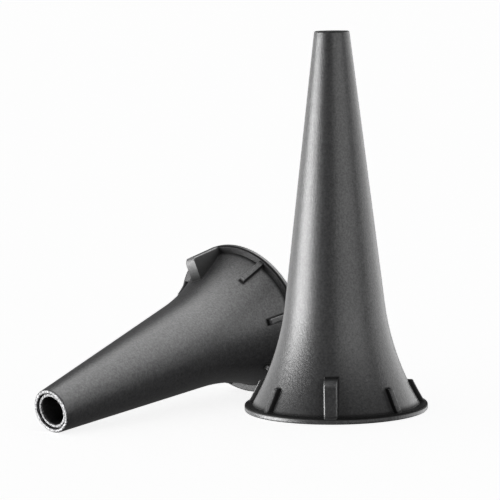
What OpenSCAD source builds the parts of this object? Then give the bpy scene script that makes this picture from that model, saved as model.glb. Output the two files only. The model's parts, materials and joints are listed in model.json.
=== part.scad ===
// Two disposable ear specula for an otoscope. The slim one stands on its base,
// and a shorter one with a wider tip lies beside it on its rim and its tip.
// Millimetres, +Z up. The origin is the centre of the standing speculum's base plane.

/* [Standing speculum] */
// Length from the base plane to the end of the tip
standing_length = 39.1; // [32:0.1:50]
// Outer diameter of the base flange
standing_flange_d = 19; // [18:0.1:24]
// Outer diameter of the bell where it meets the flange
standing_bell_d = 17.3; // [16.5:0.1:18.2]
// Outer diameter where the straight cone turns into the bell
standing_neck_d = 10.3; // [8:0.1:12]
// Height of that turn above the base plane
standing_neck_h = 11.1; // [9:0.1:16]
// Outer diameter of the tip
standing_tip_d = 3.6; // [3.2:0.1:5]
// Diameter of the hole in the tip
standing_bore_d = 2.2; // [1.6:0.1:2.8]
// Diameter of the socket in the base
standing_socket_d = 14.2; // [12:0.1:14.8]
// Length of the long grip lug above the flange
standing_lug_length = 3.7; // [2:0.1:6]
// Length of a short rib above the flange
standing_rib_length = 2.3; // [1:0.05:5]
// Turn of the standing speculum about its own axis, in degrees
standing_turn = -145; // [-180:1:180]

/* [Lying speculum] */
// Length from the base plane to the end of the tip
lying_length = 30.3; // [26:0.1:42]
// Outer diameter of the base flange
lying_flange_d = 16.5; // [15.8:0.1:18]
// Outer diameter of the bell where it meets the flange
lying_bell_d = 15; // [14:0.1:15.7]
// Outer diameter where the straight cone turns into the bell
lying_neck_d = 9.4; // [7.5:0.1:10.5]
// Height of that turn above the base plane
lying_neck_h = 9.6; // [8:0.1:13]
// Outer diameter of the tip
lying_tip_d = 4.5; // [3.8:0.1:6]
// Diameter of the hole in the tip
lying_bore_d = 3; // [1.8:0.1:3.4]
// Diameter of the socket in the base
lying_socket_d = 12.2; // [10:0.1:12.6]
// Length of the long grip lug above the flange
lying_lug_length = 4.1; // [2:0.1:6]
// Length of a short rib above the flange
lying_rib_length = 2.6; // [1:0.05:5]
// Turn of the lying speculum about its own axis, in degrees
lying_turn = 15.5; // [-180:0.5:180]
// Level gap between the lying speculum's flange and the standing speculum
side_gap = 0.4; // [0.1:0.05:16]
// How far the lying speculum's base stands past the standing one's axis
base_offset = 2.2; // [-10:0.1:12]

/* [Wall and flange] */
// Wall thickness of the cone and the bell
wall = 0.6; // [0.4:0.05:0.8]
// Thickness of the base flange
flange_t = 0.65; // [0.4:0.05:1.5]
// Rounding of the flange's two outer edges
edge_r = 0.15; // [0.05:0.01:0.19]
// Depth of the socket in the base
socket_depth = 2.2; // [1:0.1:3]

/* [Tip] */
// Rounding of the tip's outer edge
lip_r = 0.2; // [0.05:0.01:0.3]
// Width of the raised ring round the end of the tip
tip_ring_w = 0.34; // [0.2:0.01:0.5]
// Depth of the step inside that ring
tip_step = 0.2; // [0.05:0.05:0.6]
// Width of the groove round the foot of that step
groove_w = 0.16; // [0.05:0.01:0.3]
// Depth of the groove below the end of the tip
groove_depth = 0.5; // [0.1:0.05:1]
// Length of the straight hole behind the step
tip_land = 1.5; // [0.5:0.1:4]

/* [Grip ribs] */
// Number of short ribs on each side of the long lug
ribs_per_side = 3; // [1:1:3]
// Angle from the lug to the next rib and from one rib to the next, in degrees
rib_pitch = 48; // [20:1:51]
// Width of a short rib
rib_w = 0.57; // [0.3:0.01:1.2]
// Height of a short rib off the bell
rib_h = 0.5; // [0.2:0.01:0.6]
// Width of the long lug
lug_w = 1.35; // [0.8:0.05:2.5]
// Chamfer on the free end of the long lug
lug_chamfer = 0.35; // [0.1:0.05:1]

/* [Hidden] */
$fn = 96;
// The lying speculum leans on the roundings of its flange and its tip
rim_centre = [lying_flange_d / 2 - edge_r, flange_t - edge_r];
lying_lip = lip_centre(lying_length, lying_tip_d, cone_angle(lying_length, lying_tip_d, lying_neck_d, lying_neck_h));
lean = lying_lip - rim_centre;
lying_tilt = atan2(-lean.x, lean.y) + asin((edge_r - lip_r) / norm(lean));
rim_drop = rim_centre.x * cos(lying_tilt) + rim_centre.y * sin(lying_tilt) + edge_r;
standing_flare = flare_arc(
    standing_bell_d,
    standing_neck_d,
    standing_neck_h,
    cone_angle(standing_length, standing_tip_d, standing_neck_d, standing_neck_h)
);
// The lying flange comes as close to the standing speculum as the gap allows, at any height
levels = 96;
level_step = (rim_drop + lying_flange_d / 2) / levels;
axis_distance = max([for (i = [1 : levels - 1]) clear_distance(i * level_step)]);

// Half angle of the straight cone between the neck and the tip
function cone_angle(length, tip_d, neck_d, neck_h) = atan2((neck_d - tip_d) / 2, length - neck_h);

// Centre of the rounding on the tip's outer edge, in the half section
function lip_centre(length, tip_d, angle) =
    [tip_d / 2 - lip_r * (1 - sin(angle)) / cos(angle), length - lip_r];

function direction(angle) = [cos(angle), sin(angle)];

// The bell's arc leaves the cone without a kink: [its centre's distance out, its centre's height, its radius]
function flare_arc(bell_d, neck_d, neck_h, angle) =
    let (
        neck = [neck_d / 2, neck_h],
        chord = [bell_d / 2, flange_t] - neck,
        radius = norm(chord) / 2 / sin(atan2(chord.x, -chord.y) - angle)
    )
    concat(neck + radius * direction(angle), radius);

// How far the standing speculum reaches from its axis at a height, with its short ribs
function standing_reach(z) =
    let (
        flare = standing_flare,
        below_neck = min(z, standing_neck_h),
        bell = flare[0] - sqrt(flare[2] ^ 2 - (below_neck - flare[1]) ^ 2)
    )
    z <= flange_t + side_gap ? standing_flange_d / 2
    : z <= flange_t + standing_rib_length ? bell + rib_h
    : bell;

// Distance across between the two axes that leaves the gap at a height
function clear_distance(z) =
    let (
        half_chord = sqrt(max(0, (lying_flange_d / 2) ^ 2 - ((z - rim_drop) / cos(lying_tilt)) ^ 2)),
        back = base_offset - (z - rim_drop) * tan(lying_tilt),
        front = back - flange_t / cos(lying_tilt),
        along = back * front < 0 ? 0 : min(abs(back), abs(front)),
        reach = standing_reach(z) + side_gap
    )
    half_chord + sqrt(max(0, reach ^ 2 - along ^ 2));

// What lies outside a rounding of radius r, between two directions from its centre
module corner_waste(centre, r, from, to) {
    reach = 2.2 * r;
    difference() {
        polygon([
            centre,
            centre + reach * direction(from),
            centre + reach * direction((from + to) / 2),
            centre + reach * direction(to),
        ]);
        translate(centre)
            circle(r);
    }
}

// A plate in the plane of the axis, drawn as (distance from the axis, height)
module radial_plate(width)
    rotate([90, 0, 0])
        linear_extrude(width, center = true)
            children();

// One moulding: hollow cone, flared bell, flange with its grips, stepped tip and base socket
module speculum(length, flange_d, bell_d, neck_d, neck_h, tip_d, bore_d, socket_d, lug_length, rib_length) {
    angle = cone_angle(length, tip_d, neck_d, neck_h);
    neck = [neck_d / 2, neck_h];
    arc = flare_arc(bell_d, neck_d, neck_h, angle);
    flare_centre = [arc[0], arc[1]];
    flare_r = arc[2];
    lip = lip_centre(length, tip_d, angle);
    groove_r = tip_d / 2 - tip_ring_w;

    // The bell's arc, moved out towards its centre for a rib or in for the wall
    module flare(offset_out)
        translate(flare_centre)
            circle(flare_r - offset_out);

    module outside_section()
        difference() {
            union() {
                difference() {
                    polygon([
                        [0, 0],
                        [bell_d / 2, 0],
                        [bell_d / 2, flange_t],
                        neck,
                        [tip_d / 2, length],
                        [0, length],
                    ]);
                    flare(0);
                }
                square([flange_d / 2, flange_t]);
            }
            corner_waste([flange_d / 2 - edge_r, edge_r], edge_r, -90, 0);
            corner_waste([flange_d / 2 - edge_r, flange_t - edge_r], edge_r, 0, 90);
            corner_waste(lip, lip_r, angle, 90);
        }

    module inside_section() {
        translate([0, -flange_t])
            square([socket_d / 2, flange_t + socket_depth]);
        difference() {
            polygon([
                [0, socket_depth],
                [flange_d / 2, socket_depth],
                neck - wall * direction(angle),
                [bore_d / 2, length - tip_step - tip_land],
                [0, length - tip_step - tip_land],
            ]);
            flare(-wall);
        }
        square([bore_d / 2, length + tip_step]);
        translate([0, length - tip_step])
            square([groove_r, 2 * tip_step]);
        translate([groove_r - groove_w, length - groove_depth])
            square([groove_w, 2 * groove_depth]);
    }

    module rib()
        radial_plate(rib_w)
            difference() {
                translate([neck_d / 2, flange_t / 2])
                    square([flange_d / 2, flange_t / 2 + rib_length]);
                flare(rib_h);
            }

    module lug()
        intersection() {
            radial_plate(lug_w)
                difference() {
                    translate([neck_d / 2, edge_r])
                        square([flange_d / 2, flange_t + lug_length - edge_r]);
                    translate([flange_d / 2, flange_t + lug_length])
                        rotate(45)
                            square(lug_chamfer * sqrt(2), center = true);
                }
            cylinder(h = length, d = flange_d);
        }

    difference() {
        union() {
            rotate_extrude()
                outside_section();
            lug();
            for (i = [1 : ribs_per_side], side = [-1, 1])
                rotate(side * i * rib_pitch)
                    rib();
        }
        rotate_extrude()
            inside_section();
    }
}

module standing_speculum()
    color([0.24, 0.24, 0.25])
        rotate(standing_turn)
            speculum(
                standing_length,
                standing_flange_d,
                standing_bell_d,
                standing_neck_d,
                standing_neck_h,
                standing_tip_d,
                standing_bore_d,
                standing_socket_d,
                standing_lug_length,
                standing_rib_length
            );

module lying_speculum()
    color([0.24, 0.24, 0.25])
        translate([base_offset, axis_distance, rim_drop])
            rotate([0, -90 - lying_tilt, 0])
                rotate(lying_turn)
                    speculum(
                        lying_length,
                        lying_flange_d,
                        lying_bell_d,
                        lying_neck_d,
                        lying_neck_h,
                        lying_tip_d,
                        lying_bore_d,
                        lying_socket_d,
                        lying_lug_length,
                        lying_rib_length
                    );

standing_speculum();
lying_speculum();
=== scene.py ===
"""Two ear specula for an otoscope, moulded in dark plastic, on a pale floor.

Each speculum is one closed surface worked out from a half section that is turned about
its axis. The short ribs and the long lug rise out of the bell with rounded edges.
"""

import json
import math

import bpy
import numpy as np
from mathutils import Matrix, Vector


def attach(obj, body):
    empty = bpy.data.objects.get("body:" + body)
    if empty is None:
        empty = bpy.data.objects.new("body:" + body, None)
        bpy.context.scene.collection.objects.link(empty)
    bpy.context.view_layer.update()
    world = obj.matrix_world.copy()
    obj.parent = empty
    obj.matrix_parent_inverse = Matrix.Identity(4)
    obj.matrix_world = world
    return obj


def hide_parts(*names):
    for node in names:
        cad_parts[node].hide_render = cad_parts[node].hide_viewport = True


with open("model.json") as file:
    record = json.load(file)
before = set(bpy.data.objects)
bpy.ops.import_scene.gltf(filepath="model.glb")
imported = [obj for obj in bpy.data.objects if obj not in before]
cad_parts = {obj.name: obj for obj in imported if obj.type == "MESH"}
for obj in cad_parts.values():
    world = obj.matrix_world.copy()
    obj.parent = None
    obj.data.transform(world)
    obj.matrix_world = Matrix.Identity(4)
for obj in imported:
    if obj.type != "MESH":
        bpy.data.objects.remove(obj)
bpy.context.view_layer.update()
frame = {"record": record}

MM = 0.001

# ---------------------------------------------------------------- sizes, in millimetres and degrees
WALL = 0.6
FLANGE_T = 0.65
RIM_EDGE = 0.15
SOCKET_DEPTH = 2.2
MOUTH_EDGE = 0.12
LIP_R = 0.2
TIP_RING_W = 0.34
TIP_STEP = 0.2
GROOVE_W = 0.16
GROOVE_DEPTH = 0.5
TIP_LAND = 1.5
TIP_EDGE = 0.05
SLEEVE_EDGE = 0.04
RIBS_PER_SIDE = 3
RIB_PITCH = 48.0
GRIP_COUNT = 1 + 2 * RIBS_PER_SIDE
# How far a side wall or an end leans out from its top to its foot
DRAFT = 0.012
# How far past a hollow corner its painted shade runs, and how far up the bell from its foot the
# painted shade reaches
PAINTED_SHADE_RUN = 0.08
FOOT_SHADE = 0.35
RIB = {"width": 0.57, "height": 0.5, "edge": 0.1, "root": 0.09, "chamfer": 0.0}
LUG = {"width": 1.35, "edge": 0.16, "root": 0.12, "chamfer": 0.3}
SHARP_ANGLE = 38

# How far above the lug the columns still keep their distance from a grip's middle
GRIP_ZONE_PAST = 0.6
# Stands for the distance past a grip's side wall in a column that is on the grip
ON_GRIP = -1.0

# Rows and columns of the grid
LIP_STEPS = 8
CONE_ROWS = 44
BELL_ROWS = 51
INNER_ROWS = 30
LEAST_ROW_GAP = 0.004
LEAST_MEET = 4.0
ROUND_STEPS = 4
FLANGE_ROWS = 8
EDGE_ROWS = 5
SCUFFED_GLINTING_LIP_ROWS = 6
GAP_COLUMNS = 16

# Finish, painted shade and painted highlights, from 0 for none to 1 for the most
# Painted shade on the flange's top
FLANGE_PAINTED_SHADE = 0.3
# Painted shade at the top of a grip's side walls
WALL_TOP_PAINTED_SHADE = 0.8
# Rubbed rim with a painted highlight on it, less on its side
RIM_RUB_AND_HIGHLIGHT = 0.25
RIM_SIDE_RUB_AND_HIGHLIGHT = 0.35 * RIM_RUB_AND_HIGHLIGHT
# Scuffed sleeve edge in the tip, with a painted glint on it
SLEEVE_SCUFF_AND_GLINT = 0.7

STANDING = {
    "node": "standing_speculum",
    "body": "standing",
    "mount": "standing_socket",
    "length": 39.1,
    "flange_d": 19.0,
    "bell_d": 17.3,
    "neck_d": 10.3,
    "neck_h": 11.1,
    "tip_d": 3.6,
    "bore_d": 2.2,
    "socket_d": 14.2,
    "lug_length": 3.7,
    "rib_length": 2.3,
    "turn": -145.0,
    # How scuffed the tip is, with a painted glint on it
    "scuff_and_glint": 0.35,
}
LYING = {
    "node": "lying_speculum",
    "body": "lying",
    "mount": "lying_socket",
    "length": 30.3,
    "flange_d": 16.5,
    "bell_d": 15.0,
    "neck_d": 9.4,
    "neck_h": 9.6,
    "tip_d": 4.5,
    "bore_d": 3.0,
    "socket_d": 12.2,
    "lug_length": 4.1,
    "rib_length": 2.6,
    "turn": 15.5,
    # How scuffed the tip is, with a painted glint on it
    "scuff_and_glint": 1.0,
}


# ---------------------------------------------------------------- half section
def arc(centre, radius, start, end, steps):
    """Points on a circle: centre + radius (cos a, sin a), a running evenly from start to end."""
    a = np.radians(np.linspace(start, end, steps + 1))
    return np.stack([centre[0] + radius * np.cos(a), centre[1] + radius * np.sin(a)], 1)


def line(start, end, steps):
    """Points spaced evenly on a straight line, both ends included."""
    t = np.linspace(0.0, 1.0, steps + 1)[:, None]
    return np.asarray(start) * (1 - t) + np.asarray(end) * t


class Section:
    """The half section of one speculum, as distances from the axis against height.

    The cone is straight from the tip to the neck. The bell is an arc that leaves the cone
    without a kink there and ends at the flange; its centre lies outside, so it is hollow.
    """

    def __init__(self, p):
        self.p = p
        self.rim_r = p["flange_d"] / 2
        self.tip_r = p["tip_d"] / 2
        self.cone = math.atan2(p["neck_d"] / 2 - self.tip_r, p["length"] - p["neck_h"])
        self.out = np.array([math.cos(self.cone), math.sin(self.cone)])
        self.neck = np.array([p["neck_d"] / 2, p["neck_h"]])
        chord = np.array([p["bell_d"] / 2, FLANGE_T]) - self.neck
        bend = math.atan2(chord[0], -chord[1]) - self.cone
        self.flare_r = np.hypot(*chord) / 2 / math.sin(bend)
        self.flare_c = self.neck + self.flare_r * self.out

    def bell(self, z, raised=0.0):
        """Distance from the axis at height z on the bell's arc, raised off it by a distance."""
        r = self.flare_r - raised
        return self.flare_c[0] - np.sqrt(r * r - (z - self.flare_c[1]) ** 2)

    def outer_cone(self):
        """Rounded lip, then the straight cone down to the neck."""
        angle = self.cone
        lip_x = self.tip_r - LIP_R * (1 - math.sin(angle)) / math.cos(angle)
        lip = arc([lip_x, self.p["length"] - LIP_R], LIP_R, 90, math.degrees(angle), LIP_STEPS)
        return np.concatenate([lip, line(lip[-1], self.neck, CONE_ROWS)[1:]])

    def inside(self):
        """Mouth, socket, seat, bell and cone as they run up inside, then the bore, the low sleeve
        round it, the groove and the inner side of the tip's ring.
        """
        p = self.p
        socket = p["socket_d"] / 2
        mouth = arc([socket + MOUTH_EDGE, MOUTH_EDGE], MOUTH_EDGE, 270, 180, 5)
        inner_neck = self.neck - WALL * self.out
        z = np.linspace(SOCKET_DEPTH, inner_neck[1], INNER_ROWS)
        bell = np.stack([self.bell(z, -WALL), z], 1)
        if bell[0, 0] >= socket:
            bell = bell[1:]  # the socket's wall already ends here
        land = p["length"] - TIP_STEP - TIP_LAND
        bore = p["bore_d"] / 2
        step_z = p["length"] - TIP_STEP
        ring = self.tip_r - TIP_RING_W
        sleeve = ring - GROOVE_W
        groove_z = p["length"] - GROOVE_DEPTH
        return np.concatenate([
            mouth,
            line([socket, 2 * MOUTH_EDGE], [socket, SOCKET_DEPTH], 5),
            bell,
            line(inner_neck, [bore, land], INNER_ROWS)[1:],
            line([bore, land], [bore, step_z - SLEEVE_EDGE], 5)[1:],
            arc([bore + SLEEVE_EDGE, step_z - SLEEVE_EDGE], SLEEVE_EDGE, 180, 90, 4)[1:],
            arc([sleeve - SLEEVE_EDGE, step_z - SLEEVE_EDGE], SLEEVE_EDGE, 90, 0, 4),
            line([sleeve, step_z - SLEEVE_EDGE], [sleeve, groove_z], 3)[1:],
            line([sleeve, groove_z], [ring, groove_z], 2)[1:],
            line([ring, groove_z], [ring, p["length"] - TIP_EDGE], 4)[1:],
            arc([ring + TIP_EDGE, p["length"] - TIP_EDGE], TIP_EDGE, 180, 90, 4)[1:],
        ])


# ---------------------------------------------------------------- grips on the bell
def rounding(steps):
    """Angles from 0 to 90 degrees across a rounded edge."""
    return np.radians(np.linspace(0.0, 90.0, steps + 1))


def grip_columns(width, edge, root):
    """Where the grid's lines cross a grip, from its middle outwards.

    Inside, a line lies at s from the middle and dips into the rounded edge by (1 - cos a) edge.
    Outside, it stands (1 - sin b) root up the hollow corner that meets the bell.
    Gives s, how far each line is into the rounded edge, and how far out past the side wall,
    which is ON_GRIP inside it.
    """
    flat = width / 2 - edge
    on_top = [0.0, 0.6 * flat, flat - 0.03]
    inner = np.concatenate([on_top, flat + edge * np.sin(rounding(ROUND_STEPS))])
    outer = width / 2 + DRAFT + root * (1 - np.cos(rounding(ROUND_STEPS)))
    # A last column where the painted shade past a hollow corner ends
    outer = np.append(outer, outer[-1] + PAINTED_SHADE_RUN)
    s = np.concatenate([inner, outer])
    s = np.concatenate([-s[:0:-1], s])
    into_edge = np.clip(np.abs(s) - flat, 0.0, edge)
    past_wall = np.where(np.abs(s) > width / 2 + DRAFT / 2, np.abs(s) - width / 2 - DRAFT, ON_GRIP)
    return s, into_edge, past_wall


def hollow_corner(past, root):
    """Height of a hollow quarter round of radius root, a distance past its wall."""
    q = np.clip(past, 0.0, root)
    return root - np.sqrt(np.maximum(root * root - (root - q) ** 2, 0.0))


def grip_height(section, grip, z, s, into_edge, past_wall):
    """How far a grip stands off the bell, along its own middle line, at heights z and offsets s.

    A short rib keeps its height off the bell. The long lug's face stays flush with the rim.
    """
    top = FLANGE_T + grip["length"]
    z = z[:, None]
    bare = np.sqrt(section.bell(z) ** 2 - s * s)
    if "height" in grip:
        face = np.sqrt(section.bell(z, grip["height"]) ** 2 - s * s)
    else:
        face = np.sqrt(section.rim_r**2 - s * s) + 0 * z
    full = face - bare - np.clip(z - (top - grip["chamfer"]), 0.0, None)
    down = np.clip(z - (top - grip["edge"]), 0.0, grip["edge"])
    dip = np.minimum(np.hypot(into_edge, down), grip["edge"])
    solid = full - (grip["edge"] - np.sqrt(np.maximum(grip["edge"] ** 2 - dip * dip, 0.0)))
    over = z - top - DRAFT
    beyond = np.hypot(np.clip(past_wall, 0.0, None), np.clip(over, 0.0, None))
    corner = hollow_corner(beyond, grip["root"])
    is_solid = (past_wall == ON_GRIP) & (z <= top + DRAFT / 2)
    return np.where(is_solid, solid, np.minimum(corner, np.maximum(full, 0.0)))


def painted_shade(grip, z, into_edge, past_wall):
    """Painted shade, 1 in the hollow corners round a grip and at the bell's foot, falling to 0 over
    a short way.

    A grip's side walls lie between a column of 1 at their foot and one a little less at their top.
    """
    over = z - FLANGE_T - grip["length"] - DRAFT
    beyond = np.hypot(np.clip(past_wall, 0.0, None), np.clip(over, 0.0, None))
    outside = np.clip(1 - beyond / (grip["root"] + PAINTED_SHADE_RUN), 0.0, 1.0)
    is_solid = (past_wall == ON_GRIP) & (over <= -DRAFT / 2)
    beside = np.where(is_solid, WALL_TOP_PAINTED_SHADE * (into_edge > 0.99 * grip["edge"]), outside)
    # Painted shade up the bell from its foot
    at_foot = np.clip(1 - (z - FLANGE_T) / FOOT_SHADE, 0.0, 1.0)
    return np.maximum(beside, at_foot)


def bell_heights(section, grips):
    """Heights of the grid's rows down the bell, closer together round each grip's free end."""
    z = [np.linspace(section.neck[1], FLANGE_T + 0.04, BELL_ROWS + 1)[1:]]
    for grip in grips:
        top = FLANGE_T + grip["length"]
        z.append(top - grip["edge"] + grip["edge"] * np.sin(rounding(ROUND_STEPS)))
        z.append(top + DRAFT + grip["root"] * (1 - np.cos(rounding(ROUND_STEPS))))
        z.append([top - grip["edge"] - 0.04, top - grip["chamfer"], top - grip["chamfer"] - 0.05])
    z = np.unique(np.round(np.concatenate(z), 5))[::-1]
    keep = np.append(True, np.diff(z) < -LEAST_ROW_GAP)
    return z[keep]


def apron(section, foot_r, last_r, last_z):
    """Rows from the bell's foot over the flange to its side, for one column of the grid.

    From the foot they run out over the flange to its rounded edge. A column that already
    stands as far out as that edge goes straight down to where it meets the rounding.
    """
    shoulder = section.rim_r - RIM_EDGE
    if foot_r < shoulder:
        path = np.array([[last_r, last_z], [foot_r, FLANGE_T], [shoulder, FLANGE_T]])
        meet = 90.0
    else:
        reach = min((foot_r - shoulder) / RIM_EDGE, 1.0)
        meet = max(math.degrees(math.acos(reach)), LEAST_MEET)
        meet_z = FLANGE_T - RIM_EDGE + RIM_EDGE * math.sin(math.radians(meet))
        path = np.array([[last_r, last_z], [foot_r, meet_z]])
    run = np.append(0.0, np.cumsum(np.hypot(*np.diff(path, axis=0).T)))
    at = np.linspace(0.0, run[-1], FLANGE_ROWS + 1)[1:]
    first = np.stack([np.interp(at, run, path[:, 0]), np.interp(at, run, path[:, 1])], 1)
    if foot_r < shoulder:
        first[0] = [foot_r, FLANGE_T]
    edge = arc([shoulder, FLANGE_T - RIM_EDGE], RIM_EDGE, meet, 0, EDGE_ROWS)[1:]
    return np.concatenate([first, edge])


# ---------------------------------------------------------------- the whole surface
def speculum_grid(p):
    """One speculum as a closed grid: rows follow the half section all the way round, columns go
    round the axis. A point stands off the axis by the half section's distance at its height, and
    by a grip's height on top of that where a grip stands. Gives the points, upright with the base
    at height 0, and for each point how rubbed it is with a painted highlight on the edges, how
    scuffed the tip is there with a painted glint, and how much painted shade it gets in a corner,
    at the bell's foot and on the flange's top.
    """
    section = Section(p)
    lug = {**LUG, "length": p["lug_length"]}
    rib = {**RIB, "length": p["rib_length"]}
    grips = [lug] + [rib] * (GRIP_COUNT - 1)
    after_lug = RIB_PITCH * np.arange(1, RIBS_PER_SIDE + 1)
    bearing = np.radians(np.concatenate([[0.0], after_lug, 360 - after_lug[::-1], [360.0]]))

    cone = section.outer_cone()
    bell_z = bell_heights(section, (lug, rib))
    bell_r = section.bell(bell_z)
    side = line([section.rim_r, FLANGE_T - RIM_EDGE], [section.rim_r, RIM_EDGE], 3)[1:]
    under_edge = arc([section.rim_r - RIM_EDGE, RIM_EDGE], RIM_EDGE, 0, -90, EDGE_ROWS)[1:]
    mouth_r = p["socket_d"] / 2 + MOUTH_EDGE
    under = line([section.rim_r - RIM_EDGE, 0], [mouth_r, 0], 4)[1:-1]
    inside = section.inside()
    below = np.concatenate([side, under_edge, under, inside])
    freeze_r = float(section.bell(np.array(FLANGE_T + lug["length"] + GRIP_ZONE_PAST)))
    n_relief = len(cone) + len(bell_z)
    n_apron = FLANGE_ROWS + EDGE_ROWS

    # Sideways place of every row's columns: s over the distance from the axis in the grip zone,
    # then a fixed turn on the cone and inside, where the section is the same all the way round.
    columns = []
    for k, grip in enumerate(grips):
        s, into_edge, past_wall = grip_columns(grip["width"], grip["edge"], grip["root"])
        rise = grip_height(section, grip, bell_z, s, into_edge, past_wall)
        foot_z = np.array([FLANGE_T])
        foot = grip_height(section, grip, foot_z, s, into_edge, past_wall)[0]
        out_r = np.hypot(np.sqrt(bell_r[:, None] ** 2 - s * s) + rise, s)
        foot_r = np.hypot(np.sqrt(section.bell(FLANGE_T) ** 2 - s * s) + foot, s)
        aprons = np.stack([apron(section, f, o, bell_z[-1]) for f, o in zip(foot_r, out_r[-1])], 1)
        r = np.concatenate([np.repeat(cone[:, :1], len(s), 1), out_r, aprons[..., 0],
                            np.repeat(below[:, :1], len(s), 1)])
        z = np.concatenate([np.repeat(cone[:, 1:], len(s), 1), np.repeat(bell_z[:, None], len(s), 1),
                            aprons[..., 1], np.repeat(below[:, 1:], len(s), 1)])
        ref = r.copy()
        ref[: n_relief] = np.maximum(ref[: n_relief], freeze_r)
        ref[n_relief + n_apron :] = section.rim_r
        n_in = len(inside)
        fade = np.linspace(0.0, 1.0, n_in)[:, None]
        ref[-n_in:] = section.rim_r * (1 - fade) + freeze_r * fade
        turn = np.arcsin(s / ref) + bearing[k]
        # Rubbed grip edges and ends, with a painted highlight on them
        edge_wear_and_highlight = np.where(past_wall == ON_GRIP, into_edge / grip["edge"], 0.0)
        top = FLANGE_T + grip["length"]
        end_wear_and_highlight = np.clip((z - (top - grip["edge"] - grip["chamfer"])) / grip["edge"], 0.0, 1.0)
        wear_and_highlight = np.maximum(edge_wear_and_highlight, end_wear_and_highlight) * (past_wall == ON_GRIP) * (z <= top + DRAFT / 2)
        wear_and_highlight[: len(cone)] = 0.0
        wear_and_highlight[n_relief:] = 0.0
        # Painted shade in the hollow corners round the grip and at the bell's foot, and a lighter
        # painted shade on the flange's top
        painted_shade_map = painted_shade(grip, z, into_edge, past_wall)
        painted_shade_map[: len(cone)] = 0.0
        painted_shade_map[n_relief + n_apron :] = 0.0
        painted_shade_map[n_relief : n_relief + FLANGE_ROWS] = FLANGE_PAINTED_SHADE
        columns.append((r, z, turn, wear_and_highlight, painted_shade_map))

    gap = np.linspace(0.0, 1.0, GAP_COLUMNS + 2)[1:-1]
    rs, zs, turns, wears_and_highlights, painted_shade_maps = [], [], [], [], []
    for k, (r, z, turn, wear_and_highlight, painted_shade_map) in enumerate(columns):
        rs.append(r)
        zs.append(z)
        turns.append(turn)
        wears_and_highlights.append(wear_and_highlight)
        following = (k + 1) % GRIP_COUNT
        after = columns[following][2][:, :1] - bearing[following] + bearing[k + 1]
        rs.append(np.repeat(r[:, -1:], len(gap), 1))
        zs.append(np.repeat(z[:, -1:], len(gap), 1))
        turns.append(turn[:, -1:] * (1 - gap) + after * gap)
        wears_and_highlights.append(np.zeros((len(r), len(gap))))
        painted_shade_maps.append(painted_shade_map)
        painted_shade_maps.append(np.repeat(painted_shade_map[:, -1:], len(gap), 1))
    r, z, turn, wear_and_highlight, painted_shade_map = (np.concatenate(part, 1) for part in (rs, zs, turns, wears_and_highlights, painted_shade_maps))
    points = np.stack([r * np.cos(turn), r * np.sin(turn), z], 2)

    side_start = n_relief + n_apron
    # Rubbed rim, with a painted highlight on it
    rim_wear_and_highlight = np.zeros(len(r))
    rim_wear_and_highlight[n_relief + FLANGE_ROWS : side_start + len(side) + len(under_edge)] = RIM_RUB_AND_HIGHLIGHT
    rim_wear_and_highlight[side_start : side_start + len(side) - 1] = RIM_SIDE_RUB_AND_HIGHLIGHT
    # Scuffed tip, with a painted glint on it
    tip_wear_and_glint = np.zeros(len(r))
    tip_wear_and_glint[:SCUFFED_GLINTING_LIP_ROWS] = np.linspace(1.0, 0.0, SCUFFED_GLINTING_LIP_ROWS)
    is_inside = np.arange(len(r)) > n_relief
    facing_out = z[:, 0] > p["length"] - TIP_EDGE
    tip_wear_and_glint[facing_out & is_inside] = 1.0
    on_sleeve = np.abs(z[:, 0] - (p["length"] - TIP_STEP)) < SLEEVE_EDGE
    tip_wear_and_glint[on_sleeve & is_inside] = SLEEVE_SCUFF_AND_GLINT
    tip_wear_and_glint *= p["scuff_and_glint"]
    wear_and_highlight = np.maximum(wear_and_highlight, rim_wear_and_highlight[:, None])
    return points, {
        "edge_wear_and_highlight": wear_and_highlight,
        "tip_scuff_and_glint": np.repeat(tip_wear_and_glint[:, None], r.shape[1], 1),
        "painted_shade": painted_shade_map,
    }


def closed_grid(name, points, attributes):
    """A mesh from a grid that closes on itself both ways, with a number per point and attribute."""
    rows, columns = points.shape[:2]
    index = np.arange(rows * columns).reshape(rows, columns)
    below, right = np.roll(index, -1, 0), np.roll(index, -1, 1)
    diagonal = np.roll(below, -1, 1)
    quads = np.stack([index, below, diagonal, right], 2).reshape(-1, 4)
    mesh = bpy.data.meshes.new(name)
    mesh.from_pydata(points.reshape(-1, 3).tolist(), [], quads.tolist())
    for label, values in attributes.items():
        layer = mesh.attributes.new(label, "FLOAT", "POINT")
        layer.data.foreach_set("value", values.astype(np.float32).ravel())
    mesh.update()
    mesh.shade_smooth()
    mesh.set_sharp_from_angle(angle=math.radians(SHARP_ANGLE))
    piece = bpy.data.objects.new(name, mesh)
    bpy.context.scene.collection.objects.link(piece)
    return piece


def mount(name):
    """A mount's place and its direction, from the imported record."""
    found = next(m for m in frame["record"]["mounts"] if m["name"] == name)
    return Vector(found["pos_m"]), Vector(found["axis"]).normalized()


def placed(points, p):
    """Points of an upright speculum, turned about its axis and then laid along its socket's mount.

    The mount's axis points out of the base, so the tip lies the other way. The turn starts from
    +X for a speculum that stands, and from the side that faces up for one that lies.
    """
    base, out = mount(p["mount"])
    axis = -out
    if axis.z > 0.9:
        first = Vector((1, 0, 0))
    else:
        first = (Vector((0, 0, 1)) - axis * axis.z).normalized()
    second = axis.cross(first)
    basis = np.array([first, second, axis])
    turn = math.radians(p["turn"])
    c, s = math.cos(turn), math.sin(turn)
    spin = np.array([[c, s, 0], [-s, c, 0], [0, 0, 1]])
    return (points * MM) @ spin @ basis + np.array(base)


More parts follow.
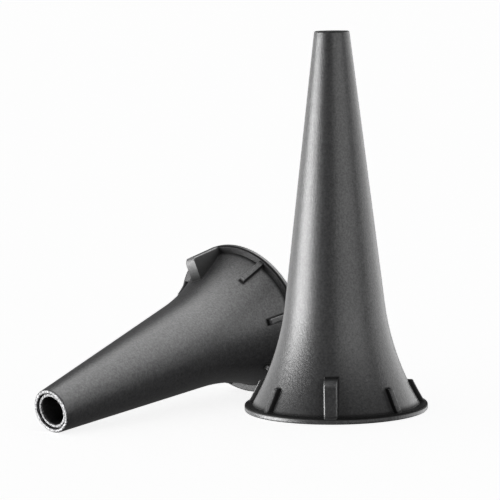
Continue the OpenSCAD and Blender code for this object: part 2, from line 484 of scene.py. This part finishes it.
# ---------------------------------------------------------------- material
def moulded_plastic():
    """Dark grey plastic with a fine grain and a patchy tone.

    It is paler where an edge is rubbed, partly a painted highlight, whitish where the tip is
    scuffed, partly a painted glint, and darker and duller down in the corners, which is painted
    shade.
    """
    material = bpy.data.materials.new("moulded_plastic")
    material.use_nodes = True
    nodes, links = material.node_tree.nodes, material.node_tree.links
    nodes.clear()

    def node(kind, **values):
        made = nodes.new(kind)
        for key, value in values.items():
            if key in made.inputs:
                made.inputs[key].default_value = value
            else:
                setattr(made, key, value)
        return made

    output = node("ShaderNodeOutputMaterial")
    shader = node("ShaderNodeBsdfPrincipled")
    shader.inputs["IOR"].default_value = 1.5
    place = node("ShaderNodeTexCoord")
    grain = node("ShaderNodeTexNoise", Scale=4800.0, Detail=3.0, Roughness=0.6)
    mottle = node("ShaderNodeTexNoise", Scale=2400.0, Detail=5.0, Roughness=0.62)
    clouds = node("ShaderNodeTexNoise", Scale=140.0, Detail=3.0, Roughness=0.5)
    for texture in (grain, mottle, clouds):
        links.new(place.outputs["Object"], texture.inputs["Vector"])
    wear_and_highlight = node("ShaderNodeAttribute", attribute_name="edge_wear_and_highlight")
    scuff_and_glint = node("ShaderNodeAttribute", attribute_name="tip_scuff_and_glint")
    painted_shade_input = node("ShaderNodeAttribute", attribute_name="painted_shade")

    colour = node("ShaderNodeValToRGB")
    colour.color_ramp.elements[0].position = 0.3
    colour.color_ramp.elements[0].color = (0.009, 0.009, 0.0095, 1)
    colour.color_ramp.elements[1].position = 0.72
    colour.color_ramp.elements[1].color = (0.022, 0.022, 0.0225, 1)
    links.new(mottle.outputs["Fac"], colour.inputs["Fac"])

    # Paler where an edge is rubbed, partly wear and partly a painted highlight
    rubbed_and_highlit = node("ShaderNodeMix", data_type="RGBA")
    rubbed_and_highlit.inputs["B"].default_value = (0.12, 0.12, 0.123, 1)
    patchy = node("ShaderNodeMath", operation="MULTIPLY")
    links.new(wear_and_highlight.outputs["Fac"], patchy.inputs[0])
    links.new(mottle.outputs["Fac"], patchy.inputs[1])
    links.new(patchy.outputs[0], rubbed_and_highlit.inputs["Factor"])
    links.new(colour.outputs["Color"], rubbed_and_highlit.inputs["A"])

    # Whitish where the tip is scuffed, partly scuffing and partly a painted glint
    whitened = node("ShaderNodeMix", data_type="RGBA")
    whitened.inputs["B"].default_value = (0.42, 0.42, 0.43, 1)
    speckle = node("ShaderNodeMapRange")
    speckle.inputs["From Min"].default_value = 0.38
    speckle.inputs["From Max"].default_value = 0.62
    links.new(grain.outputs["Fac"], speckle.inputs["Value"])
    frosted_and_glinting = node("ShaderNodeMath", operation="MULTIPLY")
    links.new(scuff_and_glint.outputs["Fac"], frosted_and_glinting.inputs[0])
    links.new(speckle.outputs["Result"], frosted_and_glinting.inputs[1])
    links.new(frosted_and_glinting.outputs[0], whitened.inputs["Factor"])
    links.new(rubbed_and_highlit.outputs["Result"], whitened.inputs["A"])
    # Painted shade: near black in the hollow corners, at the bell's foot and on the flange's top
    painted_shade_mix = node("ShaderNodeMix", data_type="RGBA")
    painted_shade_mix.inputs["B"].default_value = (0.004, 0.004, 0.004, 1)
    links.new(painted_shade_input.outputs["Fac"], painted_shade_mix.inputs["Factor"])
    links.new(whitened.outputs["Result"], painted_shade_mix.inputs["A"])
    links.new(painted_shade_mix.outputs["Result"], shader.inputs["Base Color"])

    rough = node("ShaderNodeMapRange")
    rough.inputs["To Min"].default_value = 0.37
    rough.inputs["To Max"].default_value = 0.42
    links.new(clouds.outputs["Fac"], rough.inputs["Value"])
    # Rougher in the painted shade, so it stays dull
    coarse = node("ShaderNodeMix", data_type="FLOAT")
    coarse.inputs[3].default_value = 0.78
    links.new(painted_shade_input.outputs["Fac"], coarse.inputs[0])
    links.new(rough.outputs["Result"], coarse.inputs[2])
    links.new(coarse.outputs[0], shader.inputs["Roughness"])

    sheen = node("ShaderNodeMapRange")
    sheen.inputs["From Min"].default_value = 0.3
    sheen.inputs["From Max"].default_value = 0.7
    sheen.inputs["To Min"].default_value = 0.39
    sheen.inputs["To Max"].default_value = 0.61
    links.new(grain.outputs["Fac"], sheen.inputs["Value"])
    # Less specular in the painted shade
    shine = node("ShaderNodeMix", data_type="FLOAT")
    shine.inputs[3].default_value = 0.12
    links.new(painted_shade_input.outputs["Fac"], shine.inputs[0])
    links.new(sheen.outputs["Result"], shine.inputs[2])
    links.new(shine.outputs[0], shader.inputs["Specular IOR Level"])

    heights = node("ShaderNodeMath", operation="MULTIPLY_ADD")
    heights.inputs[1].default_value = 0.2
    links.new(mottle.outputs["Fac"], heights.inputs[0])
    links.new(grain.outputs["Fac"], heights.inputs[2])
    bump = node("ShaderNodeBump", Strength=0.4, Distance=0.00005)
    links.new(heights.outputs[0], bump.inputs["Height"])
    links.new(bump.outputs["Normal"], shader.inputs["Normal"])
    links.new(shader.outputs["BSDF"], output.inputs["Surface"])
    return material


def floor_finish():
    """Matt white card that glows a little, as a lit table does, so that shadows on it stay faint."""
    material = bpy.data.materials.new("white_card")
    material.use_nodes = True
    shader = material.node_tree.nodes["Principled BSDF"]
    shader.inputs["Base Color"].default_value = (0.9, 0.9, 0.9, 1)
    shader.inputs["Roughness"].default_value = 0.9
    shader.inputs["Specular IOR Level"].default_value = 0.1
    shader.inputs["Emission Color"].default_value = (1, 1, 1, 1)
    shader.inputs["Emission Strength"].default_value = 0.84
    return material


# ---------------------------------------------------------------- camera, floor and light
VIEW_TURN = math.radians(-49.7)
VIEW_PITCH = math.radians(6.36)
VIEW_ROLL = math.radians(0.87)
# The eye's place across, ahead and up from the origin, in half widths of the standing flange
EYE = (-0.914, -28, 4.88)
UNIT = STANDING["flange_d"] / 2 * MM
LENS = 187.0
FLOOR_R = 8
FLOOR_SIDES = 64
ROOM_GLOW = 0.16
LIGHT_TARGET = Vector((0, 0, 0.015))
# Name, azimuth, elevation, distance in metres, width, height and power in watts
STANDING_LIGHTS = [
    ("key", -86, -5, 0.5, 0.38, 0.36, 8.8),
    ("back_left", -142, 8, 0.6, 0.5, 0.5, 1.2),
    ("back_right", 120, 0, 0.6, 0.9, 0.6, 4.2),
    ("front_right", 34, 11, 0.6, 0.7, 0.34, 2.5),
]
LYING_LIGHTS = [
    ("key", -86, -5, 0.5, 0.4, 0.6, 7.5),
    ("overhead", 118, 64, 0.6, 0.9, 0.85, 10.5),
    ("front_right", 44, 14, 0.6, 0.8, 0.5, 3.2),
]


def make_camera():
    """A long lens just above the table top, a few degrees down and rolled a little.

    Gives the level directions to the right and away from the camera, before the roll.
    """
    across = Vector((math.cos(VIEW_TURN), math.sin(VIEW_TURN), 0))
    ahead = Vector((-math.sin(VIEW_TURN), math.cos(VIEW_TURN), 0))
    up = Vector((0, 0, 1))
    eye = (across * EYE[0] + ahead * EYE[1] + up * EYE[2]) * UNIT
    look = ahead * math.cos(VIEW_PITCH) - up * math.sin(VIEW_PITCH)
    level_top = across.cross(look)
    right = across * math.cos(VIEW_ROLL) - level_top * math.sin(VIEW_ROLL)
    top = level_top * math.cos(VIEW_ROLL) + across * math.sin(VIEW_ROLL)
    camera = bpy.data.objects.new("camera", bpy.data.cameras.new("camera"))
    camera.data.lens = LENS
    camera.data.sensor_width = 36.0
    camera.data.clip_start = 0.01
    camera.data.clip_end = 50.0
    rotation = Matrix((right, top, -look)).transposed()
    camera.matrix_world = Matrix.Translation(eye) @ rotation.to_4x4()
    bpy.context.scene.collection.objects.link(camera)
    bpy.context.scene.camera = camera
    return across, ahead


def make_floor():
    """A wide flat disc at height 0, which takes shadows but isn't mirrored in the pieces."""
    mesh = bpy.data.meshes.new("floor")
    turn = np.linspace(0, 2 * math.pi, FLOOR_SIDES + 1)[:-1]
    rim = np.stack([FLOOR_R * np.cos(turn), FLOOR_R * np.sin(turn), 0 * turn], 1)
    mesh.from_pydata(rim.tolist(), [], [list(range(FLOOR_SIDES))])
    floor = bpy.data.objects.new("floor", mesh)
    bpy.context.scene.collection.objects.link(floor)
    mesh.materials.append(floor_finish())
    floor.visible_diffuse = False
    floor.visible_glossy = False


def softbox(across, ahead, lit, name, azimuth, elevation, distance, width, height, power):
    """An area light that faces the pieces. Azimuth is counted to the right from the camera's side.

    It shines on one collection only, and nothing outside that collection shades it.
    """
    a, e = math.radians(azimuth), math.radians(elevation)
    to_light = across * math.sin(a) * math.cos(e) - ahead * math.cos(a) * math.cos(e)
    to_light += Vector((0, 0, math.sin(e)))
    lamp = bpy.data.lights.new(name, "AREA")
    lamp.shape = "RECTANGLE"
    lamp.size = width
    lamp.size_y = height
    lamp.energy = power
    light = bpy.data.objects.new(name, lamp)
    light.location = LIGHT_TARGET + to_light * distance
    light.rotation_mode = "QUATERNION"
    light.rotation_quaternion = to_light.to_track_quat("Z", "Y")
    light.visible_camera = False
    light.light_linking.receiver_collection = lit
    light.light_linking.blocker_collection = lit
    bpy.context.scene.collection.objects.link(light)


def make_light(across, ahead, standing_piece, lying_piece):
    """A dim white room, which looks white where the camera sees it, with softboxes for each piece.

    Both have a strong one level on the left and a weak one in front on the right. The standing
    one has two more behind it, and the lying one has a broad one high up behind it.
    """
    world = bpy.data.worlds.new("white_room")
    bpy.context.scene.world = world
    world.use_nodes = True
    nodes, links = world.node_tree.nodes, world.node_tree.links
    background = nodes["Background"]
    background.inputs["Color"].default_value = (1, 1, 1, 1)
    seen = nodes.new("ShaderNodeLightPath")
    strength = nodes.new("ShaderNodeMapRange")
    strength.inputs["To Min"].default_value = ROOM_GLOW
    strength.inputs["To Max"].default_value = 1.0
    links.new(seen.outputs["Is Camera Ray"], strength.inputs["Value"])
    links.new(strength.outputs["Result"], background.inputs["Strength"])
    for piece, lights in ((standing_piece, STANDING_LIGHTS), (lying_piece, LYING_LIGHTS)):
        lit = bpy.data.collections.new(piece.name + "_lit")
        lit.objects.link(piece)
        for light in lights:
            softbox(across, ahead, lit, *light)
    bpy.context.scene.view_settings.view_transform = "Standard"


# ---------------------------------------------------------------- build
across, ahead = make_camera()
make_floor()
plastic = moulded_plastic()
pieces = []
for p in (STANDING, LYING):
    points, finish = speculum_grid(p)
    piece = closed_grid(p["node"] + "_moulding", placed(points, p), finish)
    piece.data.materials.append(plastic)
    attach(piece, p["body"])
    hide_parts(p["node"])
    pieces.append(piece)
make_light(across, ahead, *pieces)
